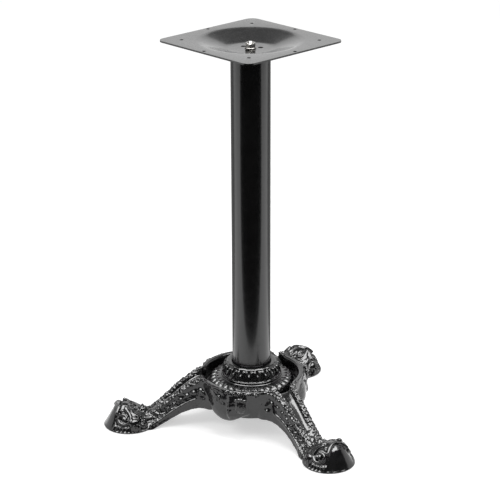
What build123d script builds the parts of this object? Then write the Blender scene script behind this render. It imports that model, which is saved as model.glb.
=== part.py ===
from build123d import *
from math import atan2, cos, degrees, pi, sin
import os

# Pedestal table base, in millimetres. +Z is up, the floor is z = 0, the column's axis is the Z axis,
# and the sides of the top plate run along X and Y.

# Driving sizes
total_height = 720.0
column_diameter = 70.0
column_wall = 2.0
seat_clearance = 0.4

# Top plate: pressed sheet with a round dish
plate_side = 230.0
plate_thickness = 3.0
plate_corner_radius = 15.0
corner_hole_inset = 31.0
corner_hole_diameter = 6.5
side_hole_inset = 6.5
side_hole_diameter = 6.5
dish_inset = 25.0
dish_wall_width = 49.0
dish_depth = 14.5
drain_hole_circle = 36.0
drain_hole_diameter = 9.0
drain_hole_count = 3

# Tie rod, its washers and nuts
rod_diameter = 10.0
rod_clearance = 0.5
thread_clearance = 0.05
rod_end_length = 2.5
washer_diameter = 20.0
washer_thickness = 2.0
nut_across_flats = 17.0
nut_height = 8.0

# Hub of the casting: a round bowl that narrows downwards below its rim, open underneath
hub_radius = 96.0
hub_top = 94.0
hub_waist_height = 80.0
hub_low_radius = 85.0
hub_bottom = 36.5
rim_width = 9.0
wall = 7.5
bowl_floor_height = 66.0
edge_round = 2.5
floor_cut = 40.0

# Pedestal in the bowl: a reeded ring, a cove and a collar that takes the column
ring_radius = 79.0
ring_widest_height = 77.0
ring_top_radius = 61.0
ring_top_height = 88.0
reed_count = 36
reed_depth = 2.4
cove_radius = 55.0
cove_height = 91.0
collar_base_radius = 52.5
collar_top_radius = 47.0
collar_height = 116.5
flute_count = 20
flute_depth = 1.6
socket_depth = 6.0
web_thickness = 9.0

# Legs: a channel with two rails along its top and a sunk trough between them
leg_count = 3
leg_turn = 23.0
foot_circle_radius = 275.0
foot_radius = 47.5
shoulder_top = 95.0
arch_height = 38.5
ankle_top = 26.0
ankle_reach = 41.0
shoulder_half_width = 26.0
ankle_half_width = 14.0
shoulder_low_half_width = 37.0
waist_half_width = 26.5
root_length = 24.0
rail_width = 9.0
rail_proud = 1.8
rail_share = 0.13
trough_depth = 9.0
trough_flare = 2.0

# Feet: a flared hoof with a crown, a bud in front of the ankle, and on each side a flat with a curled leaf
foot_height = 36.0
foot_top_radius = 27.0
foot_back_height = 17.0
flat_turn = 68.0
flat_reach = 30.0
flat_height = 22.0
flat_lean = 36.0
crown_radius = 16.0
crown_tip_radius = 5.0
crown_rise = 6.5
crown_shift = 10.0
crown_sides = 8
bud_radius = 8.0
bud_tip_radius = 0.8
bud_height = 18.0
bud_base = 18.5
bud_shift = 16.0
bud_sides = 6
curl_radius = 14.0
curl_lip = 4.0
curl_proud = 3.5
curl_sides = 10
eye_radius = 5.5
eye_sides = 6
boss_shoulder = 0.7

# Pendants between the legs, on the outside of the bowl
pendant_half_width = 34.0
pendant_radius = 108.0
pendant_top = 90.0
pendant_bottom = 34.0
pendant_lobes = 5
lobe_groove = 0.84

# Levels and radii that follow from the sizes above
column_radius = column_diameter / 2
plate_under = total_height - plate_thickness
corner_hole_spacing = plate_side - 2 * corner_hole_inset
side_hole_circle = plate_side - 2 * side_hole_inset
dish_radius = plate_side / 2 - dish_inset
dish_flat_radius = dish_radius - dish_wall_width
flat_top = total_height - dish_depth
column_top = flat_top - plate_thickness
column_bottom = collar_height - socket_depth
web_under = column_bottom - web_thickness
rod_hole_radius = rod_diameter / 2 + rod_clearance
rim_inside = hub_radius - rim_width
foot_center = foot_circle_radius - foot_radius
shoulder = hub_radius - rim_width / 3
ankle = foot_center - ankle_reach
hoof_fall = degrees(atan2(foot_height - foot_back_height, ankle_reach))


def across(x):
    # Upright plane across a leg at the distance x from the column's axis
    return Plane(origin=(x, 0, 0), x_dir=(0, 1, 0), z_dir=(1, 0, 0))


def round_legs(piece):
    # The same piece on each leg
    return [Rot(0, 0, leg_turn + 360 / leg_count * i) * piece for i in range(leg_count)]


def between_legs(piece):
    # The same piece half way between each two legs
    return [Rot(0, 0, 180 / leg_count) * copy for copy in round_legs(piece)]


def turned(points):
    # A solid of revolution about the column's axis from (radius, height) points
    return revolve(Plane.XZ * make_face(Polyline(*points, close=True)), Axis.Z)


def tube_between(outer_radius, inner_radius, low, high):
    ring = Circle(outer_radius) - Circle(inner_radius)
    return Pos(0, 0, low) * extrude(ring, high - low)


def make_column():
    return tube_between(column_radius, column_radius - column_wall, column_bottom, column_top)


def make_plate():
    # The flat sheet has a round hole, and the dish fills it with the same sheet pressed down
    lip = dish_radius
    flat = dish_flat_radius
    upper = [(lip + plate_thickness, total_height), (lip, total_height), (flat, flat_top), (0, flat_top)]
    lower = [(r, z - plate_thickness) for r, z in reversed(upper)]
    outline = RectangleRounded(plate_side, plate_side, plate_corner_radius) - Circle(lip + plate_thickness)
    plate = Pos(0, 0, plate_under) * extrude(outline, plate_thickness) + turned(upper + lower)
    half = corner_hole_spacing / 2
    holes = [Pos(x, y) * Circle(corner_hole_diameter / 2) for x in (-half, half) for y in (-half, half)]
    holes += PolarLocations(side_hole_circle / 2, 4) * Circle(side_hole_diameter / 2)
    holes += PolarLocations(drain_hole_circle / 2, drain_hole_count, 90) * Circle(drain_hole_diameter / 2)
    holes += [Circle(rod_hole_radius)]
    return plate - Pos(0, 0, column_top) * extrude(Sketch() + holes, total_height - column_top)


def make_rod():
    low = web_under - washer_thickness - nut_height - rod_end_length
    high = flat_top + washer_thickness + nut_height + rod_end_length
    rod = Pos(0, 0, low) * extrude(Circle(rod_diameter / 2), high - low)
    return chamfer(rod.edges().filter_by(GeomType.CIRCLE), rod_diameter / 10)


def make_washer(low):
    return tube_between(washer_diameter / 2, rod_hole_radius, low, low + washer_thickness)


def make_nut(low):
    corner_radius = nut_across_flats / 2 / cos(pi / 6)
    outline = RegularPolygon(corner_radius, 6) - Circle(rod_diameter / 2 + thread_clearance)
    return Pos(0, 0, low) * extrude(outline, nut_height)


# Stations along a leg from its shoulder to its ankle: the share of the run, then the shares of the fall
# of the rails and of the lower edge, and of the narrowing of the rails and of the lower edge to the waist
leg_stations = [
    (0.00, 0.00, 0.00, 0.00, 0.00),
    (0.10, 0.05, 0.03, 0.32, 0.45),
    (0.24, 0.16, 0.13, 0.52, 0.82),
    (0.42, 0.34, 0.30, 0.63, 1.00),
    (0.62, 0.58, 0.57, 0.75, 1.00),
    (0.82, 0.82, 0.83, 0.89, 0.78),
    (1.00, 1.00, 1.00, 1.00, 0.10),
]


# Stations inside the hub, where a leg spreads into the rim: the share of the root's length, then the
# spread of the rails and of the lower edge and the lift of the lower edge
root_stations = [
    (1.0, 1.00, 0.20, 0.2),
    (0.4, 0.55, 0.25, 0.7),
]


def leg_line():
    # (distance, rail half width, rail height, low half width, low height) at each station
    line = []
    for share, spread, low_spread, lift in root_stations:
        line.append((
            shoulder - root_length * share,
            shoulder_half_width + root_length * spread,
            hub_top,
            shoulder_low_half_width + root_length * low_spread,
            hub_bottom + (arch_height - hub_bottom) * lift,
        ))
    for share, fall, low_fall, narrowing, waist in leg_stations:
        line.append((
            shoulder + (ankle - shoulder) * share,
            shoulder_half_width + (ankle_half_width - shoulder_half_width) * narrowing,
            shoulder_top + (ankle_top - shoulder_top) * fall,
            shoulder_low_half_width + (waist_half_width - shoulder_low_half_width) * waist,
            arch_height * (1 - low_fall),
        ))
    inside_foot = ankle + ankle_reach / 2
    line.append((inside_foot, ankle_half_width, ankle_top - rail_width / 2, shoulder_low_half_width, 0))
    return line


def mirrored_face(x, half):
    # A face across the leg from the points of its one half
    other = [(-w, z) for w, z in reversed(half)]
    return across(x) * make_face(Polyline(*half, *other, close=True))


def leg_face(x, top_half, top, low_half, low):
    # Outline of a leg with its rail along the top edge
    def flank(share, proud=0.0):
        return (low_half + (top_half - low_half) * share + proud, low + (top - low) * share)

    half = [flank(0), flank(1 - 2 * rail_share), flank(1 - rail_share, rail_proud), flank(1)]
    return mirrored_face(x, half)


def make_leg_body():
    return loft([leg_face(*station) for station in leg_line()], ruled=True)


# Depth of the trough at each station from the root outwards, as shares of its usual depth
trough_shares = [2.9, 2.0, 1.35, 1.1, 1.0, 1.0, 0.9, 0.55, 0.1, 0.0]


def make_leg_trough():
    # What is sunk between the rails: open to the bowl at one end, running out before the ankle
    faces = []
    for share, (x, top_half, top, low_half, low) in zip(trough_shares[:-2], leg_line()):
        mouth = top_half - rail_width
        floor = top - trough_depth * share
        half = [(mouth - trough_flare, floor), (mouth + trough_flare, top + trough_depth)]
        faces.append(mirrored_face(x, half))
    return loft(faces, ruled=True)


def make_leg_channel():
    # The hollow under a leg and its foot: a straight-sided slot whose roof stays one wall below the trough
    bowl_roof = bowl_floor_height - wall
    roof = [(hub_low_radius - 2 * wall, bowl_roof), (hub_radius, bowl_roof)]
    for share, (x, top_half, top, low_half, low) in zip(trough_shares, leg_line()):
        if x > hub_radius:
            roof.append((x, top - trough_depth * share - wall))
    roof.append((foot_center + foot_top_radius, roof[-1][1]))
    ends = [(roof[-1][0], -wall), (roof[0][0], -wall)]
    side = Plane.XZ * make_face(Polyline(*roof, *ends, close=True))
    return extrude(side, waist_half_width - wall, both=True)


def both_sides(piece):
    # The same piece on the two sides of a leg
    return [piece, mirror(piece, Plane.XZ)]


def rising(sides, levels):
    # A many-sided boss from (radius, height) levels
    return loft([Pos(0, 0, z) * RegularPolygon(r, sides) for r, z in levels], ruled=True)


def on_flat(piece):
    # A piece that lies on the flat of the foot's one side
    lean = Pos(flat_reach, 0, flat_height) * Rot(0, 90 - flat_lean, 0)
    return Pos(foot_center, 0, 0) * Rot(0, 0, flat_turn) * lean * piece


def make_hoof():
    # A cone with a flat on each side, cut off at a slope that falls from its crown to the ankle
    hoof = Pos(foot_center, 0, foot_height / 2) * Cone(foot_radius, foot_top_radius, foot_height)
    above = Box(2 * foot_radius, 2 * foot_radius, foot_height, align=(Align.MAX, Align.CENTER, Align.MIN))
    beside = Box(2 * foot_radius, 2 * foot_radius, foot_height, align=(Align.CENTER, Align.CENTER, Align.MIN))
    hoof -= Pos(foot_center, 0, foot_height) * Rot(0, -hoof_fall, 0) * above
    return hoof - both_sides(on_flat(beside))


def make_crown():
    levels = [
        (crown_radius, foot_height - wall),
        (crown_radius, foot_height),
        (crown_radius * boss_shoulder, foot_height + crown_rise * boss_shoulder),
        (crown_tip_radius, foot_height + crown_rise),
    ]
    return Pos(foot_center + crown_shift, 0, 0) * rising(crown_sides, levels)


def make_curl():
    # A curled leaf as a round lip on the flat with an eye in its middle
    hollow_radius = curl_radius - curl_lip
    leaf = rising(curl_sides, [(curl_radius, -wall), (curl_radius - curl_lip / 2, curl_proud)])
    leaf -= rising(curl_sides, [(hollow_radius, 0), (hollow_radius, 2 * curl_proud)])
    eye = rising(eye_sides, [(eye_radius, -wall), (eye_radius * boss_shoulder, curl_proud)])
    return on_flat(leaf + eye)


def make_bud():
    levels = [(bud_radius * boss_shoulder, -wall), (bud_radius, bud_height / 3), (bud_tip_radius, bud_height)]
    return Pos(ankle + bud_shift, 0, bud_base) * rising(bud_sides, levels)


def make_foot():
    return make_hoof() + make_crown() + make_bud() + both_sides(make_curl())


# Levels of a pendant from its top to its tip: the shares of its drop, of its half width and of its radius
pendant_levels = [
    (0.00, 1.00, 0.920),
    (0.45, 0.75, 0.975),
    (0.75, 0.55, 1.000),
    (1.00, 0.25, 0.900),
]


def make_pendant():
    # A lobed drop that swells out of the bowl's wall
    back = hub_low_radius - wall
    faces = []
    for share, width, radius in pendant_levels:
        z = pendant_top + (pendant_bottom - pendant_top) * share
        faces.append(Pos(back, 0, z) * lobed(pendant_half_width * width, pendant_radius * radius - back))
    return loft(faces, ruled=True)


def lobed(half_width, reach):
    # Half oval of plain lobes that faces +X, closed by a straight back inside the wall
    steps = 2 * pendant_lobes
    points = []
    for i in range(steps + 1):
        angle = pi * i / steps - pi / 2
        swell = lobe_groove if i % 2 == 0 else 1.0
        points.append((reach * swell * cos(angle), half_width * swell * sin(angle)))
    return make_face(Polyline(*points, close=True))


def zigzag(radius, depth, count):
    # Round outline whose points lie in turn on the radius and one depth inside it
    points = []
    for i in range(2 * count):
        angle = pi * i / count
        r = radius - depth * (i % 2)
        points.append((r * cos(angle), r * sin(angle)))
    return make_face(Polyline(*points, close=True))


def make_pedestal():
    reed_levels = [
        (ring_radius, bowl_floor_height - edge_round),
        (ring_radius, ring_widest_height),
        ((ring_radius + ring_top_radius) / 2 + reed_depth, ring_top_height - reed_depth),
        (ring_top_radius, ring_top_height),
    ]
    ring = loft([Pos(0, 0, z) * zigzag(r, reed_depth, reed_count) for r, z in reed_levels], ruled=True)
    cove = Pos(0, 0, ring_top_height - wall) * extrude(Circle(cove_radius), cove_height - ring_top_height + wall)
    band_levels = [(collar_base_radius, cove_height), (collar_top_radius, collar_height)]
    band = loft([Pos(0, 0, z) * zigzag(r, flute_depth, flute_count) for r, z in band_levels], ruled=True)
    return ring + cove + band


def make_hollow():
    # The open underside of the hub: a wide step under the bowl and a narrow one up to the web
    bowl_hollow = extrude(Circle(hub_low_radius - wall), bowl_floor_height - wall)
    return bowl_hollow + extrude(Circle(collar_top_radius - wall), web_under)


def make_casting():
    rim = turned([
        (0, hub_bottom),
        (hub_low_radius, hub_bottom),
        (hub_radius, hub_waist_height),
        (hub_radius, hub_top - edge_round),
        (hub_radius - edge_round, hub_top),
        (0, hub_top),
    ])
    body = rim + round_legs(make_leg_body()) + round_legs(make_foot()) + between_legs(make_pendant())
    bowl = Pos(0, 0, bowl_floor_height) * extrude(Circle(rim_inside), hub_top)
    body = body - bowl - round_legs(make_leg_trough())
    body = body + make_pedestal()
    body = body - make_hollow() - round_legs(make_leg_channel())
    socket = Pos(0, 0, column_bottom) * extrude(Circle(column_radius + seat_clearance), socket_depth + wall)
    hole = Pos(0, 0, web_under - wall) * extrude(Circle(rod_hole_radius), web_thickness + 2 * wall)
    ground = Pos(0, 0, -floor_cut / 2) * Box(3 * foot_circle_radius, 3 * foot_circle_radius, floor_cut)
    return body - socket - hole - ground


washer_lows = [flat_top, web_under - washer_thickness]
nut_lows = [flat_top + washer_thickness, web_under - washer_thickness - nut_height]
pieces = {
    "tripod_base": make_casting(),
    "column_tube": make_column(),
    "top_plate": make_plate(),
    "tie_rod": make_rod(),
    "washers": Compound([make_washer(low) for low in washer_lows]),
    "nuts": Compound([make_nut(low) for low in nut_lows]),
}

os.makedirs("parts", exist_ok=True)
for name, piece in pieces.items():
    export_step(piece, f"parts/{name}.step")
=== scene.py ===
import bpy
import bmesh
from math import atan2, cos, degrees, pi, radians, sin
from mathutils import Euler, Matrix, Vector, noise


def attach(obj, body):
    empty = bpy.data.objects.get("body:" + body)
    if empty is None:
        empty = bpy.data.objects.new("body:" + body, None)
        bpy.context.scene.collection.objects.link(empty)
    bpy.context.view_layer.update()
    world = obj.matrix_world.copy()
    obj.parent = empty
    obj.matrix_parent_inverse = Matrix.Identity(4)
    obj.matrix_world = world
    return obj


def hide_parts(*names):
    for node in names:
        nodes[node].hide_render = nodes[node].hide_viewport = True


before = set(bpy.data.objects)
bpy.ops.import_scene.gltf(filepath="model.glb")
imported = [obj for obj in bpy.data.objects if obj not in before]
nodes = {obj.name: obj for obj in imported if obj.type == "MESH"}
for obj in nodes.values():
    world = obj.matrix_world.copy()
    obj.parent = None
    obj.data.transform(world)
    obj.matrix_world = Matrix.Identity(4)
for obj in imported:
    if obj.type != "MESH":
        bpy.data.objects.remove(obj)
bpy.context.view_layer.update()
mm = 0.001  # pieces are modelled in millimetres and scaled once


def newObject(name, mesh):
    obj = bpy.data.objects.new(name, mesh)
    bpy.context.scene.collection.objects.link(obj)
    return obj


def meshPiece(name, bm, scale=mm):
    bmesh.ops.remove_doubles(bm, verts=bm.verts, dist=0.0005 * mm / scale)
    bmesh.ops.recalc_face_normals(bm, faces=bm.faces)
    bmesh.ops.scale(bm, vec=(scale, scale, scale), verts=bm.verts)
    mesh = bpy.data.meshes.new(name)
    bm.to_mesh(mesh)
    bm.free()
    return newObject(name, mesh)


def applyModifiers(obj):
    graph = bpy.context.evaluated_depsgraph_get()
    made = bpy.data.meshes.new_from_object(obj.evaluated_get(graph))
    obj.modifiers.clear()
    old = obj.data
    obj.data = made
    bpy.data.meshes.remove(old)
    made.name = obj.name


def finishPiece(obj, material, node, angle=35):
    obj.data.materials.clear()
    obj.data.materials.append(material)
    obj.data.shade_smooth()
    obj.data.set_sharp_from_angle(angle=radians(angle))
    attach(obj, "root")
    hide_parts(node)
    print("piece", obj.name, len(obj.data.polygons), "faces")


def spinProfile(bm, points, steps):
    # closed outline of (radius, height) points turned right round the column's axis
    verts = [bm.verts.new((r, 0, z)) for r, z in points]
    pairs = zip(verts, verts[1:] + verts[:1])
    edges = [bm.edges.new((a, b)) for a, b in pairs if a.co.x + b.co.x > 0]  # none along the axis
    bmesh.ops.spin(bm, geom=verts + edges, cent=(0, 0, 0), axis=(0, 0, 1),
                   angle=2 * pi, steps=steps, use_merge=True)


def turnRound(bm, angle):
    bmesh.ops.rotate(bm, cent=(0, 0, 0), matrix=Matrix.Rotation(radians(angle), 3, "Z"), verts=bm.verts)


def ringPoint(radius, angle, high):
    return Vector((radius * cos(radians(angle)), radius * sin(radians(angle)), high))


def capLastRing(bm, made):
    # closes the far end of a shape that a spin has drawn out
    last = [g for g in made["geom_last"] if isinstance(g, bmesh.types.BMEdge)]
    bmesh.ops.contextual_create(bm, geom=last)


# materials

def nodeMaterial(name):
    mat = bpy.data.materials.new(name)
    mat.use_nodes = True
    tree = mat.node_tree
    return mat, tree, tree.nodes["Principled BSDF"]


def noiseOn(tree, scale, detail, rough=0.5):
    coords = tree.nodes.get("pieceCoords")
    if coords is None:
        coords = tree.nodes.new("ShaderNodeTexCoord")
        coords.name = "pieceCoords"
    cloud = tree.nodes.new("ShaderNodeTexNoise")
    cloud.inputs["Scale"].default_value = scale
    cloud.inputs["Detail"].default_value = detail
    cloud.inputs["Roughness"].default_value = rough
    tree.links.new(coords.outputs["Object"], cloud.inputs["Vector"])
    return cloud


def rampOn(tree, source, stops):
    ramp = tree.nodes.new("ShaderNodeValToRGB")
    ramp.color_ramp.elements[0].position = stops[0][0]
    ramp.color_ramp.elements[0].color = (*stops[0][1], 1)
    ramp.color_ramp.elements[1].position = stops[-1][0]
    ramp.color_ramp.elements[1].color = (*stops[-1][1], 1)
    for place, colour in stops[1:-1]:
        ramp.color_ramp.elements.new(place).color = (*colour, 1)
    tree.links.new(source, ramp.inputs["Fac"])
    return ramp


def rangeOn(tree, source, low, high, fromLow=0.3, fromHigh=0.7):
    spread = tree.nodes.new("ShaderNodeMapRange")
    spread.inputs["From Min"].default_value = fromLow
    spread.inputs["From Max"].default_value = fromHigh
    spread.inputs["To Min"].default_value = low
    spread.inputs["To Max"].default_value = high
    tree.links.new(source, spread.inputs["Value"])
    return spread.outputs["Result"]


def bumpOn(tree, height, distance, strength, below=None):
    bump = tree.nodes.new("ShaderNodeBump")
    bump.inputs["Distance"].default_value = distance
    bump.inputs["Strength"].default_value = strength
    tree.links.new(height, bump.inputs["Height"])
    if below is not None:
        tree.links.new(below.outputs["Normal"], bump.inputs["Normal"])
    return bump


enamelLook = {"dark": (0.0035, 0.0035, 0.0038), "light": (0.009, 0.009, 0.0095), "smooth": 0.06,
              "dull": 0.16, "toneScale": 60, "sheenScale": 140, "grainScale": 900, "grainDeep": 0.00015,
              "lumpScale": 170, "lumpDeep": 0.0009, "bump": 0.35, "specular": 0.44, "coat": 0.4,
              "coatRough": 0.08}


def makeEnamel():
    # gloss black enamel over cast iron: it pools in places and shows the sand's grain
    e = enamelLook
    mat, tree, shader = nodeMaterial("glossEnamel")
    tone = noiseOn(tree, e["toneScale"], 6, 0.6)
    colour = rampOn(tree, tone.outputs["Fac"], [(0.35, e["dark"]), (0.7, e["light"])])
    tree.links.new(colour.outputs["Color"], shader.inputs["Base Color"])
    sheen = noiseOn(tree, e["sheenScale"], 4, 0.55)
    rough = rangeOn(tree, sheen.outputs["Fac"], e["smooth"], e["dull"])
    tree.links.new(rough, shader.inputs["Roughness"])
    grain = noiseOn(tree, e["grainScale"], 3, 0.6)
    lumps = noiseOn(tree, e["lumpScale"], 3, 0.5)
    low = bumpOn(tree, lumps.outputs["Fac"], e["lumpDeep"], e["bump"])
    fine = bumpOn(tree, grain.outputs["Fac"], e["grainDeep"], e["bump"], low)
    tree.links.new(fine.outputs["Normal"], shader.inputs["Normal"])
    shader.inputs["Specular IOR Level"].default_value = e["specular"]
    shader.inputs["Coat Weight"].default_value = e["coat"]
    shader.inputs["Coat Roughness"].default_value = e["coatRough"]
    return mat


powderLook = {"dark": (0.0025, 0.0025, 0.0027), "light": (0.0036, 0.0036, 0.0038), "smooth": 0.2,
              "dull": 0.26, "toneScale": 35, "sheenScale": 90, "peelDeep": 0.0001, "bump": 0.12,
              "specular": 0.5, "coatRough": 0.1,
              "columnPeel": 1100, "columnCoat": 0.5, "platePeel": 900, "plateCoat": 0.6}


def makePowder(name, peelScale, coat):
    # baked black paint with a faint orange peel
    w = powderLook
    mat, tree, shader = nodeMaterial(name)
    tone = noiseOn(tree, w["toneScale"], 4)
    colour = rampOn(tree, tone.outputs["Fac"], [(0.35, w["dark"]), (0.7, w["light"])])
    tree.links.new(colour.outputs["Color"], shader.inputs["Base Color"])
    sheen = noiseOn(tree, w["sheenScale"], 3)
    rough = rangeOn(tree, sheen.outputs["Fac"], w["smooth"], w["dull"])
    tree.links.new(rough, shader.inputs["Roughness"])
    peel = noiseOn(tree, peelScale, 2, 0.4)
    bump = bumpOn(tree, peel.outputs["Fac"], w["peelDeep"], w["bump"])
    tree.links.new(bump.outputs["Normal"], shader.inputs["Normal"])
    shader.inputs["Specular IOR Level"].default_value = w["specular"]
    shader.inputs["Coat Weight"].default_value = coat
    shader.inputs["Coat Roughness"].default_value = w["coatRough"]
    return mat


zincLook = {"dark": (0.2, 0.195, 0.185), "light": (0.42, 0.41, 0.39), "smooth": 0.14, "dull": 0.3,
            "toneScale": 420, "scratchScale": 2200, "scratchDeep": 0.00004, "bump": 0.3}


def makeZinc():
    # bright zinc plating with a faint crystal mottle
    z = zincLook
    mat, tree, shader = nodeMaterial("zincPlate")
    tone = noiseOn(tree, z["toneScale"], 5, 0.65)
    colour = rampOn(tree, tone.outputs["Fac"], [(0.3, z["dark"]), (0.7, z["light"])])
    tree.links.new(colour.outputs["Color"], shader.inputs["Base Color"])
    rough = rangeOn(tree, tone.outputs["Fac"], z["smooth"], z["dull"])
    tree.links.new(rough, shader.inputs["Roughness"])
    scratch = noiseOn(tree, z["scratchScale"], 2)
    bump = bumpOn(tree, scratch.outputs["Fac"], z["scratchDeep"], z["bump"])
    tree.links.new(bump.outputs["Normal"], shader.inputs["Normal"])
    shader.inputs["Metallic"].default_value = 1.0
    return mat


enamel = makeEnamel()
columnPaint = makePowder("columnPaint", powderLook["columnPeel"], powderLook["columnCoat"])
platePaint = makePowder("platePaint", powderLook["platePeel"], powderLook["plateCoat"])
zinc = makeZinc()
print("materials ready")


# column: one straight tube

columnSize = {"radius": 35.0, "bore": 33.0, "low": 110.5, "high": 702.5, "edge": 0.4, "steps": 160}


def makeColumn():
    c = columnSize
    outline = [(c["bore"], c["low"]), (c["radius"] - c["edge"], c["low"]),
               (c["radius"], c["low"] + c["edge"]), (c["radius"], c["high"] - c["edge"]),
               (c["radius"] - c["edge"], c["high"]), (c["bore"], c["high"])]
    bm = bmesh.new()
    spinProfile(bm, outline, c["steps"])
    finishPiece(meshPiece("column", bm), columnPaint, "column_tube")


makeColumn()


# top plate: a pressed sheet with a round dish

plateSize = {"side": 230.0, "top": 720.0, "thick": 3.0, "corner": 15.0, "lip": 90.0, "flat": 41.0,
             "depth": 14.5, "bend": 6.0, "steps": 288, "rodHole": 5.5, "holes": 6.5,
             "cornerSpacing": 168.0, "sideCircle": 217.0, "drainCircle": 36.0, "drainHole": 9.0,
             "drillSides": 32, "drillLong": 60.0}


def squareEdge(angle):
    # where a ray from the middle meets the sheet's rounded outline
    half, corner = plateSize["side"] / 2, plateSize["corner"]
    x, y = abs(cos(angle)), abs(sin(angle))
    reach = half / max(x, y)
    inner = half - corner
    if min(reach * x, reach * y) > inner:
        along = inner * (x + y)
        reach = along + (along * along - 2 * inner * inner + corner * corner) ** 0.5
    return Vector((reach * cos(angle), reach * sin(angle), plateSize["top"]))


def makePlate():
    p = plateSize
    floor, slope = p["top"] - p["depth"], p["depth"] / (p["lip"] - p["flat"])
    bend = p["bend"]
    dish = [(p["rodHole"], floor), (p["flat"] - bend, floor), (p["flat"], floor + 0.25 * slope * bend),
            (p["flat"] + bend, floor + slope * bend), (p["lip"] - bend, p["top"] - slope * bend),
            (p["lip"], p["top"] - 0.25 * slope * bend), (p["lip"] + bend, p["top"])]
    bm = bmesh.new()
    verts = [bm.verts.new((r, 0, z)) for r, z in dish]
    edges = [bm.edges.new(pair) for pair in zip(verts, verts[1:])]
    bmesh.ops.spin(bm, geom=verts + edges, cent=(0, 0, 0), axis=(0, 0, 1),
                   angle=2 * pi, steps=p["steps"], use_merge=True)
    bmesh.ops.remove_doubles(bm, verts=bm.verts, dist=0.001)
    outer = [e for e in bm.edges if e.is_boundary and e.verts[0].co.xy.length > p["lip"]]
    grown = bmesh.ops.extrude_edge_only(bm, edges=outer)["geom"]
    for v in grown:
        if isinstance(v, bmesh.types.BMVert):
            v.co = squareEdge(Vector((1, 0)).angle_signed(v.co.xy) * -1)
    plate = meshPiece("topPlate", bm)
    up = sum(f.normal.z for f in plate.data.polygons) > 0
    wall = plate.modifiers.new("sheet", "SOLIDIFY")
    wall.thickness = p["thick"] * mm
    wall.offset = -1.0 if up else 1.0
    wall.use_even_offset = True
    applyModifiers(plate)
    drills = bmesh.new()
    half = p["cornerSpacing"] / 2
    spots = [(x, y, p["holes"]) for x in (-half, half) for y in (-half, half)]
    for i in range(4):
        spots.append((*ringPoint(p["sideCircle"] / 2, 90 * i, 0).xy, p["holes"]))
    for i in range(3):
        spots.append((*ringPoint(p["drainCircle"] / 2, 90 + 120 * i, 0).xy, p["drainHole"]))
    for x, y, across in spots:
        bmesh.ops.create_cone(drills, cap_ends=True, segments=p["drillSides"], radius1=across / 2,
                              radius2=across / 2, depth=p["drillLong"],
                              matrix=Matrix.Translation((x, y, p["top"])))
    drill = meshPiece("drills", drills)
    cut = plate.modifiers.new("holes", "BOOLEAN")
    cut.operation = "DIFFERENCE"
    cut.solver = "EXACT"
    cut.object = drill
    applyModifiers(plate)
    bpy.data.objects.remove(drill)
    finishPiece(plate, platePaint, "top_plate", 40)


makePlate()


# tie rod with a thread at each end

rodSize = {"radius": 5.0, "low": 89.0, "high": 718.0, "edge": 1.0, "pitch": 1.5, "depth": 0.7, "run": 17.0,
           "sunk": 0.4, "ridge": 0.46, "turnSteps": 24, "steps": 48}


def addThread(bm, low, turns):
    # one ridge wound up the rod, its root sunk into the core
    d = rodSize
    root = d["radius"] - d["depth"] - d["sunk"]
    half = d["pitch"] * d["ridge"]
    verts = [bm.verts.new(p) for p in ((root, 0, low - half), (d["radius"], 0, low), (root, 0, low + half))]
    face = bm.faces.new(verts)
    made = bmesh.ops.spin(bm, geom=verts + list(face.edges), cent=(0, 0, 0), axis=(0, 0, 1),
                          dvec=(0, 0, d["pitch"] / d["turnSteps"]), angle=2 * pi * turns,
                          steps=d["turnSteps"] * turns)
    capLastRing(bm, made)


def makeRod():
    d = rodSize
    core, edge = d["radius"] - d["depth"], d["edge"]
    bm = bmesh.new()
    spinProfile(bm, [(0, d["low"]), (core - edge, d["low"]), (core, d["low"] + edge),
                     (core, d["low"] + d["run"]), (d["radius"], d["low"] + d["run"] + edge),
                     (d["radius"], d["high"] - d["run"] - edge), (core, d["high"] - d["run"]),
                     (core, d["high"] - edge), (core - edge, d["high"]), (0, d["high"])], d["steps"])
    turns = int(d["run"] / d["pitch"]) - 1
    addThread(bm, d["low"] + d["pitch"], turns)
    addThread(bm, d["high"] - d["run"] + d["pitch"] / 2, turns)
    finishPiece(meshPiece("tieRod", bm), zinc, "tie_rod", 30)


makeRod()


# washers: one in the dish and one under the casting's web

washerSize = {"radius": 10.0, "bore": 5.5, "thick": 2.0, "edge": 0.3, "topSeat": 705.5, "lowSeat": 101.5,
              "steps": 48}


def makeWashers():
    w = washerSize
    wide, edge = w["radius"], w["edge"]
    bm = bmesh.new()
    for low in (w["topSeat"], w["lowSeat"] - w["thick"]):
        high = low + w["thick"]
        spinProfile(bm, [(w["bore"], low), (wide - edge, low), (wide, low + edge), (wide, high - edge),
                         (wide - edge, high), (w["bore"], high)], w["steps"])
    finishPiece(meshPiece("washerPair", bm), zinc, "washers", 30)


makeWashers()


# nuts: a six-sided bar cut by a turned shape that gives the bore and the coned ends

nutSize = {"flats": 17.0, "high": 8.0, "turn": 12.0, "cone": 1.6, "faceIn": 0.2, "cornerRoom": 0.4,
           "past": 0.1, "steps": 48}


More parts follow.
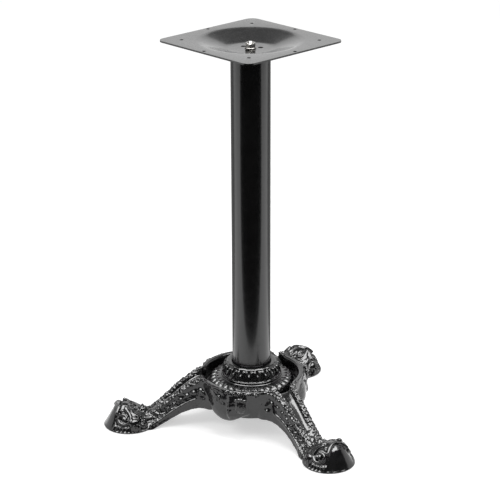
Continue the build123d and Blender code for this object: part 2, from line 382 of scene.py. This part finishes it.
def makeNuts():
    n, bore = nutSize, rodSize["radius"]
    corner = n["flats"] / 2 / cos(pi / 6)
    face, wide = n["flats"] / 2 - n["faceIn"], corner + n["cornerRoom"]
    hexes = bmesh.new()
    cones = bmesh.new()
    for low in (washerSize["topSeat"] + washerSize["thick"],
                washerSize["lowSeat"] - washerSize["thick"] - n["high"]):
        high = low + n["high"]
        middle = Matrix.Translation((0, 0, (low + high) / 2)) @ Matrix.Rotation(radians(n["turn"]), 4, "Z")
        bmesh.ops.create_cone(hexes, cap_ends=True, segments=6, radius1=corner, radius2=corner,
                              depth=n["high"], matrix=middle)
        spinProfile(cones, [(bore, low - n["past"]), (face, low - n["past"]), (wide, low + n["cone"]),
                            (wide, high - n["cone"]), (face, high + n["past"]), (bore, high + n["past"])],
                    n["steps"])
    nuts = meshPiece("nutPair", hexes)
    shaper = meshPiece("nutShaper", cones)
    cut = nuts.modifiers.new("coneEnds", "BOOLEAN")
    cut.operation = "INTERSECT"
    cut.solver = "EXACT"
    cut.object = shaper
    applyModifiers(nuts)
    bpy.data.objects.remove(shaper)
    finishPiece(nuts, zinc, "nuts", 20)


makeNuts()


# carving on the casting, in millimetres in one leg's own frame: x outwards, y across, z up

legLine = [  # distance out, rail half width, rail height, lower half width, lower edge
    (69, 50, 94, 42, 37), (83, 39, 94, 43, 38), (93, 26, 95, 37, 38.5), (102, 22.2, 91.6, 32.3, 37.8),
    (115, 19.8, 84, 28.4, 33.9), (132, 18.4, 71.5, 26.5, 27.3), (151, 17, 55, 26.5, 16.8),
    (170, 15.3, 38.4, 28.8, 6.6), (186, 14, 26, 36, 0), (207, 14, 21.5, 37, 0)]


def legAt(out):
    for a, b in zip(legLine, legLine[1:]):
        if out <= b[0]:
            share = (out - a[0]) / (b[0] - a[0])
            return [p + (q - p) * share for p, q in zip(a[1:], b[1:])]
    return legLine[-1][1:]


def flankAt(out, side, share, proud=0.0):
    # a point on a leg's flank, from 0 at its lower edge to 1 at the rail
    rail, top, foot, low = legAt(out)
    lift = Vector((top - low, foot - rail)).normalized() * proud
    return Vector((out, side * (foot + (rail - foot) * share + lift.x), low + (top - low) * share + lift.y))


def addBlob(bm, place, size, turn=(0, 0, 0), detail=2):
    spot = Matrix.LocRotScale(Vector(place), Euler([radians(a) for a in turn]), Vector(size))
    bmesh.ops.create_icosphere(bm, subdivisions=detail, radius=1.0, matrix=spot)


def addMouldings(bm, lines, radius, taper=1.0):
    # round mouldings along smooth lines, thinner towards the end where there is a taper
    curve = bpy.data.curves.new("mouldings", "CURVE")
    curve.dimensions = "3D"
    curve.bevel_depth = radius
    curve.bevel_resolution = 2
    curve.resolution_u = 5
    curve.use_fill_caps = True
    for line in lines:
        spline = curve.splines.new("NURBS")
        spline.points.add(len(line) - 1)
        spline.order_u = 3
        spline.use_endpoint_u = True
        for i, (point, place) in enumerate(zip(spline.points, line)):
            point.co = (*place, 1)
            point.radius = 1 + (taper - 1) * i / (len(line) - 1)
    obj = newObject("mouldings", curve)
    made = bpy.data.meshes.new_from_object(obj.evaluated_get(bpy.context.evaluated_depsgraph_get()))
    bm.from_mesh(made)
    bpy.data.objects.remove(obj)
    bpy.data.meshes.remove(made)


def onSide(points, side):
    return [(x, side * y, z) for x, y, z in points]


legCarving = {
    "barkPitch": 5.4, "barkFrom": 90, "barkTo": 190, "steepFrom": 110, "steep": 40, "shallow": 12,
    "leans": (-26, 34), "leanWander": 60, "growWander": 0.6, "slip": 2.0,
    "topIn": 6.4, "topDrop": 0.4, "topSize": (4.4, 1.7, 2.4),
    "edgeIn": 2.4, "edgeDrop": 0.8, "edgeStep": 2.2, "edgeSize": (3.8, 1.8, 2.4),
    "sideShare": 0.92, "sideProud": 0.8, "sideStep": 1.2, "sideSize": (3.4, 2.3, 2.0), "sideLean": 14,
    "beadPitch": 12.0, "beadFrom": 98, "beadTo": 172, "beadShare": 0.62, "beadRadius": 2.8,
    "beadLong": 1.25,
    "borderOuts": (104, 112, 122, 136, 152, 166, 178, 188), "borderShare": 0.34, "borderRadius": 1.6,
    "underShare": 0.27, "underRadius": 0.96, "proud": 0.4,
    "peak": (98, 0.66), "heel": (90, 0.46), "chevronProud": 0.6, "chevronRadius": 1.7,
    "nub": (92, 0.32), "nubProud": 0.8, "nubSize": (3.4, 2.0, 3.4)}


def carveLeg(bm):
    c = legCarving
    notches = int((c["barkTo"] - c["barkFrom"]) / c["barkPitch"])
    beads = int((c["beadTo"] - c["beadFrom"]) / c["beadPitch"]) + 1
    for side in (-1, 1):
        for i in range(notches):  # bark along the rail's top, edge and shoulder
            out = c["barkFrom"] + c["barkPitch"] * (i + 0.5 * (side > 0))
            rail, top, foot, low = legAt(out)
            steep = c["steep"] if out > c["steepFrom"] else c["shallow"]
            wander = noise.noise(Vector((i * 0.73, side * 3.1, 0.5)))
            lean = c["leans"][i % 2] + c["leanWander"] * wander
            grow = 1 + c["growWander"] * wander
            slip = c["slip"] * wander
            long, wide, high = c["topSize"]
            addBlob(bm, (out, side * (rail - c["topIn"] + wander), top - c["topDrop"]),
                    (long * grow, wide, high), (0, steep, side * lean))
            long, wide, high = c["edgeSize"]
            addBlob(bm, (out + c["edgeStep"] + slip, side * (rail - c["edgeIn"]), top - c["edgeDrop"]),
                    (long, wide * grow, high), (0, steep, -side * lean))
            long, wide, high = c["sideSize"]
            spot = flankAt(out + c["sideStep"] - slip, side, c["sideShare"] - 0.06 * wander, c["sideProud"])
            addBlob(bm, spot, (long / grow, wide, high), (0, steep, side * c["sideLean"]))
        for i in range(beads):
            spot = flankAt(c["beadFrom"] + c["beadPitch"] * i, side, c["beadShare"], c["proud"])
            addBlob(bm, spot, (c["beadRadius"] * c["beadLong"], c["beadRadius"], c["beadRadius"]))
        border = [flankAt(out, side, c["borderShare"], c["proud"]) for out in c["borderOuts"]]
        under = [flankAt(out, side, c["underShare"], c["proud"] / 2) for out in c["borderOuts"][1:]]
        addMouldings(bm, [border], c["borderRadius"])
        addMouldings(bm, [under], c["underRadius"])
        peak = flankAt(c["peak"][0], side, c["peak"][1], c["chevronProud"])
        heel = flankAt(c["heel"][0], side, c["heel"][1], c["chevronProud"])
        addMouldings(bm, [[heel, (heel + peak) / 2, peak]], c["chevronRadius"])
        addMouldings(bm, [[peak, (peak + border[0]) / 2, border[0]]], c["chevronRadius"])
        addBlob(bm, flankAt(c["nub"][0], side, c["nub"][1], c["nubProud"]), c["nubSize"], (0, 45, 0), 1)


footCarving = {
    "middle": 227.5, "flatTurn": 68.0, "flatReach": 30.0, "flatHeight": 22.0, "flatLean": 36.0,
    "curl": 14.5, "curlFrom": -150, "curlTurns": 1.3, "curlSteps": 26, "curlIn": 0.68, "curlFlat": 0.92,
    "curlProud": 2.0, "curlRise": 2.6, "curlThick": 3.3, "eye": 3.6, "eyeProud": 3.2,
    "crown": ((252, 22, 30), (249, 17, 36.5), (245, 10, 41), (242, 0, 43)), "crownThick": 3.6,
    "band": ((238, 18, 42), (230, 19, 38), (221, 18.5, 31), (212, 14, 27)), "bandThick": 3.8,
    "ring": (222, 9, 36.2), "ringReach": (7, 6, 3.2), "ringThick": 2.3,
    "ringBead": (222, 9, 36), "ringBeadSize": (3.0, 2.8, 3.2),
    "beads": (-6, 0, 6), "beadDown": -15.5, "beadProud": 1.4, "beadSize": (3.0, 2.8, 3.0),
    "bar": ((217, 23, 19), (202, 23, 19.5), (187, 21, 20.5)), "barThick": 3.4,
    "lobes": (((219, 37, 14.5), (11.0, 7.0, 11.0), 16), ((207, 32, 8), (8.0, 6.0, 8.5), 10)),
    "ribs": ((211, 43.3, 9), (215.8, 44.3, 11), (220.6, 44.3, 11), (225.4, 43.3, 9)),
    "ribSize": (1.5, 2.6, 7.5),
    "ankleOuts": (178, 184, 191, 198, 206), "ankleLast": 200, "ankleSize": (1.5, 2.2, 5.0), "ankleLean": 12,
    "veins": 7, "veinFrom": 44, "veinStep": 9, "veinLow": (45.4, 2.0), "veinTop": (40.5, 10.5),
    "veinTurn": 2.865, "veinBow": 1.2, "veinThick": 1.9, "lip": 46.3, "lipThick": 1.3,
    "bud": (203, 0, 26), "budSize": (7.6, 7.6, 10.0), "tip": (203, 0, 35), "tipSize": (2.8, 2.8, 4.4),
    "petalReach": 6.8, "petalHeight": 25, "petalSize": (2.4, 2.4, 8.0)}


def onFlat(side, down, back, proud):
    # a point on the sloping flat of the foot's one side
    f = footCarving
    lean = radians(f["flatLean"])
    reach = f["flatReach"] + down * sin(lean) + proud * cos(lean)
    up = f["flatHeight"] - down * cos(lean) + proud * sin(lean)
    turn = radians(f["flatTurn"])
    return Vector((f["middle"] + reach * cos(turn) - back * sin(turn),
                   side * (reach * sin(turn) + back * cos(turn)), up))


def aroundFoot(side, radius, angle, high):
    place = ringPoint(radius, angle, high)
    return Vector((footCarving["middle"] + place.x, side * place.y, high))


def carveFoot(bm):
    f = footCarving
    for side in (-1, 1):
        spiral = []
        for i in range(f["curlSteps"] + 1):  # the leaf curls in from the crown to its eye
            share = i / f["curlSteps"]
            angle = radians(f["curlFrom"]) + 2 * pi * f["curlTurns"] * share
            radius = f["curl"] * (1 - f["curlIn"] * share)
            spiral.append(onFlat(side, radius * cos(angle) * f["curlFlat"], -radius * sin(angle),
                                 f["curlProud"] + f["curlRise"] * share))
        addMouldings(bm, [spiral], f["curlThick"], 0.72)
        addBlob(bm, onFlat(side, 0, 0, f["eyeProud"]), (f["eye"], f["eye"], f["eye"]))
        addMouldings(bm, [onSide(f["crown"], side)], f["crownThick"])
        addMouldings(bm, [[spiral[0]] + onSide(f["band"], side)], f["bandThick"], 0.8)
        x, y, z = f["ring"]
        long, wide, rise = f["ringReach"]
        ring = []
        for i in range(14):
            angle = i * pi / 6
            ring.append((x + long * cos(angle), side * (y + wide * sin(angle)), z + rise * cos(angle)))
        addMouldings(bm, [ring], f["ringThick"])
        x, y, z = f["ringBead"]
        addBlob(bm, (x, side * y, z), f["ringBeadSize"])
        for back in f["beads"]:
            addBlob(bm, onFlat(side, f["beadDown"] + abs(back) / 4, back, f["beadProud"]), f["beadSize"])
        addMouldings(bm, [onSide(f["bar"], side)], f["barThick"], 0.8)
        for (x, y, z), size, turn in f["lobes"]:
            addBlob(bm, (x, side * y, z), size, (0, 0, side * turn), 3)
        for place in onSide(f["ribs"], side):
            addBlob(bm, place, f["ribSize"])
        for i, out in enumerate(f["ankleOuts"]):  # upright ribs beside the ankle
            spot = flankAt(min(out, f["ankleLast"]), side, 0.2 + 0.05 * (i % 2), 0.5)
            addBlob(bm, (out, spot.y, spot.z + 1.5), f["ankleSize"], (0, f["ankleLean"], 0))
        for i in range(f["veins"]):  # a leaf that droops from the curl to the floor
            turn = f["veinFrom"] + f["veinStep"] * i
            low = aroundFoot(side, f["veinLow"][0], turn, f["veinLow"][1])
            top = aroundFoot(side, f["veinTop"][0], turn + f["veinTurn"], f["veinTop"][1])
            middle = (top + low) / 2 + Vector((0, side * f["veinBow"], 0))
            addMouldings(bm, [[top, middle, low]], f["veinThick"], 0.7)
        lip = [aroundFoot(side, f["lip"], a, f["lipThick"]) for a in range(0, 141, 10)]
        addMouldings(bm, [lip], f["lipThick"])
    addBlob(bm, f["bud"], f["budSize"])
    addBlob(bm, f["tip"], f["tipSize"])
    for a in range(0, 360, 60):
        place = ringPoint(f["petalReach"], a, f["petalHeight"])
        addBlob(bm, (f["bud"][0] + place.x, place.y, place.z), f["petalSize"], (0, 0, a))


# carving on the hub: angles from midway between two legs, radii from the column's axis

skirtSize = {"middle": -6.0, "half": 37.0, "fade": 24.0, "steps": 52, "sunk": 3.0, "lowHalf": 24.0,
             "lowFade": 22.0, "dip": 12.0, "top": 88.0, "bottom": 32.0,
             "wallFoot": 85.0, "wallLow": 36.5, "wallSlope": 0.253, "wallMost": 96.0,
             "inner": ((81.0, 32.0), (91.5, 88.0)),
             "outer": ((96.5, 88), (99.5, 76), (101.5, 64), (102, 52), (101, 43), (99, 36), (94, 32))}


def easeIn(share):
    share = min(1.0, max(0.0, share))
    return share * share * (3 - 2 * share)


def swellBowl(bm):
    # the bowl's wall swells and its edge dips midway between the legs
    k = skirtSize
    verts = [bm.verts.new(ringPoint(r, -k["half"], z)) for r, z in k["outer"] + k["inner"]]
    face = bm.faces.new(verts)
    made = bmesh.ops.spin(bm, geom=verts + list(face.edges), cent=(0, 0, 0), axis=(0, 0, 1),
                          angle=radians(2 * k["half"]), steps=k["steps"])
    capLastRing(bm, made)
    for v in bm.verts:
        turn = abs(degrees(atan2(v.co.y, v.co.x)))
        full = easeIn((k["half"] - turn) / k["fade"])
        deep = easeIn((k["lowHalf"] - turn) / k["lowFade"])
        out = v.co.xy.length
        wall = min(k["wallMost"], k["wallFoot"] + (v.co.z - k["wallLow"]) * k["wallSlope"]) - k["sunk"]
        if out > wall:
            v.co.xy *= (wall + full * (out - wall)) / out
        v.co.z += (1 - deep) * k["dip"] * (k["top"] - v.co.z) / (k["top"] - k["bottom"])
    turnRound(bm, k["middle"])


pendantCarving = {"shellTurn": 12.0, "shell": (102.5, 0, 68), "shellSize": (8.0, 9.5, 14),
                  "ribs": 5, "ribSpread": 60, "ribLeans": (0.9, 0.45, 0.0, -0.45, -0.9), "ribRadius": 2.0,
                  "knobs": 4, "knobRadius": 3.3, "knobHeight": 83.5, "knobOut": 5, "knobBow": 8,
                  "knobRow": 17,
                  "ridges": ((-14, 2.8), (-27, -0.6)), "ridgeRadius": 2.4,
                  "ridgeLine": ((96.5, 80), (97.5, 74), (97, 64), (95.5, 52))}


def carvePendant(bm):
    p = pendantCarving
    x, y, z = p["shell"]
    deep, wide, high = p["shellSize"]
    addBlob(bm, p["shell"], p["shellSize"], detail=3)
    ribs = []
    for i in range(p["ribs"]):  # ribs down the shell
        turn = radians(p["ribSpread"] * (2 * i / (p["ribs"] - 1) - 1))
        ribs.append([(x + deep * cos(turn) * cos(lean), wide * sin(turn) * cos(lean), z + high * sin(lean))
                     for lean in p["ribLeans"]])
    addMouldings(bm, ribs, p["ribRadius"], 0.7)
    for i in range(p["knobs"]):
        across = i / (p["knobs"] - 1) - 0.5
        bow = p["knobBow"] * across ** 2
        addBlob(bm, (x + p["knobOut"] - bow, p["knobRow"] * across, p["knobHeight"] - bow),
                (p["knobRadius"], p["knobRadius"], p["knobRadius"]))
    turnRound(bm, p["shellTurn"])
    ridges = []
    for turn, out in p["ridges"]:  # upright ridges on the bowl's wall, thick at the top
        ridges.append([ringPoint(r + out, turn, z) for r, z in p["ridgeLine"]])
    addMouldings(bm, ridges, p["ridgeRadius"], 0.4)


hubCarving = {"reeds": 36, "reedPlace": (68.5, 80.5), "reedSize": (11.0, 4.3, 7.6), "reedLean": 28,
              "reedTwist": 14, "darts": 20, "dartSpread": 6.016, "dartHead": (48.9, 112.0),
              "dartTip": (52.6, 96.0), "dartRadius": 2.0,
              "rings": ((55.2, 92.5), (88.5, 68.5)), "ringRadius": 1.5,
              "edgePlace": (94.4, 93.0), "edgeFrom": 24, "edgeTo": 96, "edgeRadius": 1.4,
              "leaves": 9, "leafFrom": 55.0, "leafStep": 4.4, "leafPlace": (95.5, 90.5),
              "leafSize": (4.6, 2.4, 3.2), "leafLean": 40, "leafTwist": 35}


def carveHub(bm):
    h = hubCarving
    for i in range(h["reeds"]):  # gadroons over the ring
        turn = 360 * i / h["reeds"]
        radius, high = h["reedPlace"]
        addBlob(bm, ringPoint(radius, turn, high), h["reedSize"], (0, h["reedLean"], turn + h["reedTwist"]))
    darts = []
    for i in range(h["darts"]):  # pointed darts down the collar
        turn = 360 * i / h["darts"]
        tip = ringPoint(h["dartTip"][0], turn, h["dartTip"][1])
        for lean in (-h["dartSpread"], h["dartSpread"]):
            head = ringPoint(h["dartHead"][0], turn + lean, h["dartHead"][1])
            darts.append([head, (head + tip) / 2, tip])
    addMouldings(bm, darts, h["dartRadius"])
    rings = [[ringPoint(radius, a, high) for a in range(0, 369, 8)] for radius, high in h["rings"]]
    addMouldings(bm, rings, h["ringRadius"])
    edges = []
    for start in range(0, 360, 120):  # a fine edge line on the rim between the legs
        radius, high = h["edgePlace"]
        turns = range(start + h["edgeFrom"], start + h["edgeTo"] + 1, 4)
        edges.append([ringPoint(radius, a, high) for a in turns])
    addMouldings(bm, edges, h["edgeRadius"])
    for start in range(0, 360, 120):  # leaves on the rim's shoulder over each shell
        for i in range(h["leaves"]):
            turn = start + h["leafFrom"] + h["leafStep"] * i
            radius, high = h["leafPlace"]
            twist = h["leafTwist"] if i % 2 else -h["leafTwist"]
            addBlob(bm, ringPoint(radius, turn, high), h["leafSize"], (0, h["leafLean"], turn + twist))


# casting: the solid's own form with soft edges, the carving, and bark on the flanks

castingSize = {"coreGrid": 1.6, "coreSmooth": 6, "grid": 1.15, "smooth": 1, "legTurn": 23.0, "legs": 3,
               "most": 190000}
barkSize = {"deep": 1.6, "from": 106.0, "grow": 50.0, "least": 0.25, "topLevel": 0.9, "reach": (96, 210),
            "inside": 10, "lowShare": 0.42, "topShare": 0.86, "base": 0.5, "notch": 2.2, "roughness": 0.5}


def remeshed(obj, grid, smooth):
    form = obj.modifiers.new("skin", "REMESH")
    form.mode = "VOXEL"
    form.voxel_size = grid * mm
    soft = obj.modifiers.new("soft", "SMOOTH")
    soft.factor = 0.5
    soft.iterations = smooth
    applyModifiers(obj)


def barkOn(obj):
    # ridged bark between the rail and the border, stronger towards the foot
    k = barkSize
    step = 2 * pi / castingSize["legs"]
    moves = []
    for v in obj.data.vertices:
        x, y, up = v.co / mm
        length = (x * x + y * y) ** 0.5
        if length < k["reach"][0] or length > k["reach"][1]:
            continue
        turn = (atan2(y, x) - radians(castingSize["legTurn"]) + step / 2) % step - step / 2
        out, across = length * cos(turn), abs(length * sin(turn))
        rail, top, foot, low = legAt(out)
        share = (up - low) / (top - low)
        if across < rail - k["inside"] or share < k["lowShare"]:
            continue
        level = k["topLevel"]
        if share < k["topShare"]:
            level = min(1, max(k["least"], (out - k["from"]) / k["grow"]))
        grain = noise.noise(Vector((out * 0.16 + up * 0.1, across * 0.3, up * 0.34)))
        fine = noise.noise(Vector((out * 0.45, across * 0.5, up * 0.6)))
        lift = k["base"] - abs(grain) * k["notch"] + k["roughness"] * fine
        moves.append((v, v.normal * lift * k["deep"] * level * mm))
    for v, move in moves:  # all at once, because a move changes the normals beside it
        v.co += move


def addRound(bm, part, start):
    # one leg's carving, set out again for each leg
    mesh = bpy.data.meshes.new("carvedPart")
    part.to_mesh(mesh)
    part.free()
    mesh.transform(Matrix.Rotation(radians(start), 4, "Z"))
    for i in range(castingSize["legs"]):
        bm.from_mesh(mesh)
        mesh.transform(Matrix.Rotation(2 * pi / castingSize["legs"], 4, "Z"))
    bpy.data.meshes.remove(mesh)


def keepMainShell(obj):
    # small closed pockets that the skin leaves inside the iron go
    bm = bmesh.new()
    bm.from_mesh(obj.data)
    seen = set()
    shells = []
    for first in bm.verts:
        if first in seen:
            continue
        seen.add(first)
        shell = [first]
        for v in shell:
            for edge in v.link_edges:
                other = edge.other_vert(v)
                if other not in seen:
                    seen.add(other)
                    shell.append(other)
        shells.append(shell)
    shells.sort(key=len)
    bmesh.ops.delete(bm, geom=[v for shell in shells[:-1] for v in shell], context="VERTS")
    bm.to_mesh(obj.data)
    bm.free()
    print("pockets removed", len(shells) - 1)


def makeCasting():
    c = castingSize
    between = c["legTurn"] + 180 / c["legs"]
    swell = bmesh.new()
    swellBowl(swell)
    bm = bmesh.new()
    addRound(bm, swell, between)
    bmesh.ops.scale(bm, vec=(mm, mm, mm), verts=bm.verts)
    bm.from_mesh(nodes["tripod_base"].data)
    core = meshPiece("tripodCasting", bm, 1.0)
    remeshed(core, c["coreGrid"], c["coreSmooth"])
    print("core", len(core.data.polygons), "faces")

    carved = bmesh.new()
    carveHub(carved)
    turnRound(carved, c["legTurn"])
    legs = bmesh.new()
    carveLeg(legs)
    carveFoot(legs)
    addRound(carved, legs, c["legTurn"])
    hanging = bmesh.new()
    carvePendant(hanging)
    addRound(carved, hanging, between)
    everything = carved.verts[:] + carved.edges[:] + carved.faces[:]  # nothing goes below the floor
    bmesh.ops.bisect_plane(carved, geom=everything, plane_co=(0, 0, 0), plane_no=(0, 0, -1),
                           clear_outer=True)
    bmesh.ops.holes_fill(carved, edges=[e for e in carved.edges if e.is_boundary])
    bmesh.ops.scale(carved, vec=(mm, mm, mm), verts=carved.verts)
    print("carving", len(carved.faces), "faces")
    carved.from_mesh(core.data)
    carved.to_mesh(core.data)
    carved.free()
    remeshed(core, c["grid"], c["smooth"])
    barkOn(core)
    thin = core.modifiers.new("thin", "DECIMATE")
    thin.ratio = min(1.0, c["most"] / (2 * len(core.data.polygons)))
    print("skin", len(core.data.polygons), "faces, kept", round(thin.ratio, 3))
    applyModifiers(core)
    keepMainShell(core)
    finishPiece(core, enamel, "tripod_base", 180)


makeCasting()


# stage: white sheet, dark cards, lamps and the camera at the photo's angle

stage = {"turn": -43.69, "floorSize": 16.0, "floorDrop": 0.0004, "floorTone": 0.8, "floorRough": 0.9,
         "floorGlow": 0.5, "world": 0.55, "worldSeen": 0.45, "aimHeight": 0.25,
         "frontCard": (0.38, 3.4, 3.0), "backCard": (0.22, 3.2, 2.5),  # near edge, far edge, half width
         "cardCurve": 0.165, "cardLift": 0.001, "frontTone": 0.008, "backTone": 0.3,
         "wall": (3.2, 0.02, 3.9, 0.07)}  # radius, lower and upper edge, level


def lightPathLevel(tree, strength):
    # a strength that only camera, glossy and transmission rays see
    path = tree.nodes.new("ShaderNodeLightPath")
    last = path.outputs["Is Camera Ray"]
    for ray in ("Is Glossy Ray", "Is Transmission Ray"):
        seen = tree.nodes.new("ShaderNodeMath")
        seen.operation = "MAXIMUM"
        tree.links.new(last, seen.inputs[0])
        tree.links.new(path.outputs[ray], seen.inputs[1])
        last = seen.outputs[0]
    level = tree.nodes.new("ShaderNodeMath")
    level.operation = "MULTIPLY"
    level.inputs[1].default_value = strength
    tree.links.new(last, level.inputs[0])
    return level.outputs[0]


def stageSheet(name, bm, mat):
    mesh = bpy.data.meshes.new(name)
    turnRound(bm, stage["turn"])
    bm.to_mesh(mesh)
    bm.free()
    mesh.materials.append(mat)
    sheet = newObject(name, mesh)
    return sheet


def makeFloor():
    mat, tree, shader = nodeMaterial("whiteSheet")
    tone = stage["floorTone"]
    shader.inputs["Base Color"].default_value = (tone, tone, tone, 1)
    shader.inputs["Roughness"].default_value = stage["floorRough"]
    shader.inputs["Specular IOR Level"].default_value = 0.0
    shader.inputs["Emission Color"].default_value = (1, 1, 1, 1)
    tree.links.new(lightPathLevel(tree, stage["floorGlow"]), shader.inputs["Emission Strength"])
    bm = bmesh.new()
    bmesh.ops.create_grid(bm, x_segments=1, y_segments=1, size=stage["floorSize"] / 2,
                          matrix=Matrix.Translation((0, 0, -stage["floorDrop"])))
    stageSheet("floorSheet", bm, mat)


def showOnlyInReflections(card):
    card.visible_camera = False
    card.visible_diffuse = False
    card.visible_shadow = False
    card.visible_transmission = False


def makeCards():
    # dark cards on the floor that only reflections see, before and behind the column
    for name, way, tone in (("frontCard", -1, stage["frontTone"]), ("backCard", 1, stage["backTone"])):
        mat, tree, shader = nodeMaterial(name)
        shader.inputs["Base Color"].default_value = (tone, tone, tone, 1)
        shader.inputs["Roughness"].default_value = 1.0
        shader.inputs["Specular IOR Level"].default_value = 0.0
        near, far, half = stage[name]
        bm = bmesh.new()
        bmesh.ops.create_grid(bm, x_segments=24, y_segments=1, size=1,
                              matrix=Matrix.Scale(half, 4, (1, 0, 0)))
        for v in bm.verts:
            v.co.y = way * (far if v.co.y > 0 else near + stage["cardCurve"] * v.co.x ** 2)
            v.co.z = stage["cardLift"]
        showOnlyInReflections(stageSheet(name, bm, mat))


softCards = {  # right, away and height of the middle, half width, half depth, level
    "topCard": ((0.0, -0.75, 2.3), 1.5, 1.25, 12.0),
    "dimCard": ((0.0, 2.6, 2.7), 3.0, 1.6, 0.25),
}


def glowMaterial(name, level):
    mat, tree, shader = nodeMaterial(name)
    shader.inputs["Base Color"].default_value = (0, 0, 0, 1)
    shader.inputs["Specular IOR Level"].default_value = 0.0
    shader.inputs["Emission Color"].default_value = (1, 1, 1, 1)
    shader.inputs["Emission Strength"].default_value = level
    return mat


def makeSoftCards():
    # sheets that only reflections see: a bright one overhead for sparkle, dim ones behind and in front
    for name, (place, half, deep, level) in softCards.items():
        bm = bmesh.new()
        spot = Matrix.LocRotScale(Vector(place), None, Vector((half, deep, 1)))
        bmesh.ops.create_grid(bm, x_segments=1, y_segments=1, size=1, matrix=spot)
        showOnlyInReflections(stageSheet(name, bm, glowMaterial(name, level)))
    radius, low, high, level = stage["wall"]
    bm = bmesh.new()
    ends = [bm.verts.new((-radius, 0, low)), bm.verts.new((-radius, 0, high))]
    edge = bm.edges.new(ends)
    bmesh.ops.spin(bm, geom=ends + [edge], cent=(0, 0, 0), axis=(0, 0, 1), angle=pi, steps=32)
    showOnlyInReflections(stageSheet("frontWall", bm, glowMaterial("frontWall", level)))


lamps = {  # place (right, away, up) from the object as the camera sees it, width, height, watts
    "overhead": ((0.1, 0.1, 2.6), 1.3, 1.3, 30),
    "leftBox": ((-1.7, -1.0, 1.9), 0.7, 0.9, 14),
    "rightBox": ((1.7, -0.6, 1.9), 0.7, 0.9, 12),
}


def makeLamps():
    turn = Matrix.Rotation(radians(stage["turn"]), 3, "Z")
    for name, (place, width, height, power) in lamps.items():
        light = bpy.data.lights.new(name, "AREA")
        light.shape = "RECTANGLE"
        light.size = width
        light.size_y = height
        light.energy = power
        lamp = bpy.data.objects.new(name, light)
        lamp.location = turn @ Vector(place)
        aim = Vector((0, 0, stage["aimHeight"])) - lamp.location
        lamp.rotation_euler = aim.to_track_quat("-Z", "Y").to_euler()
        bpy.context.scene.collection.objects.link(lamp)


def makeWorld():
    world = bpy.data.worlds.new("studio")
    world.use_nodes = True
    back = world.node_tree.nodes["Background"]
    back.inputs["Color"].default_value = (1, 1, 1, 1)
    tree = world.node_tree
    level = tree.nodes.new("ShaderNodeMath")
    level.operation = "ADD"
    level.inputs[1].default_value = stage["world"]
    tree.links.new(lightPathLevel(tree, stage["worldSeen"]), level.inputs[0])
    tree.links.new(level.outputs[0], back.inputs["Strength"])
    bpy.context.scene.world = world


view = {"place": (-2.12339, -2.22244, 1.51105), "turn": (69.016, 0.181, -43.726), "lens": 131.70}


def makeCamera():
    camera = bpy.data.objects.new("camera", bpy.data.cameras.new("camera"))
    camera.location = view["place"]
    camera.rotation_euler = Euler([radians(a) for a in view["turn"]])
    camera.data.lens = view["lens"]
    camera.data.sensor_width = 36
    camera.data.clip_end = 100
    bpy.context.scene.collection.objects.link(camera)
    bpy.context.scene.camera = camera


makeFloor()
makeCards()
makeSoftCards()
makeLamps()
makeWorld()
makeCamera()
bpy.context.scene.view_settings.view_transform = "Standard"
print("stage ready")
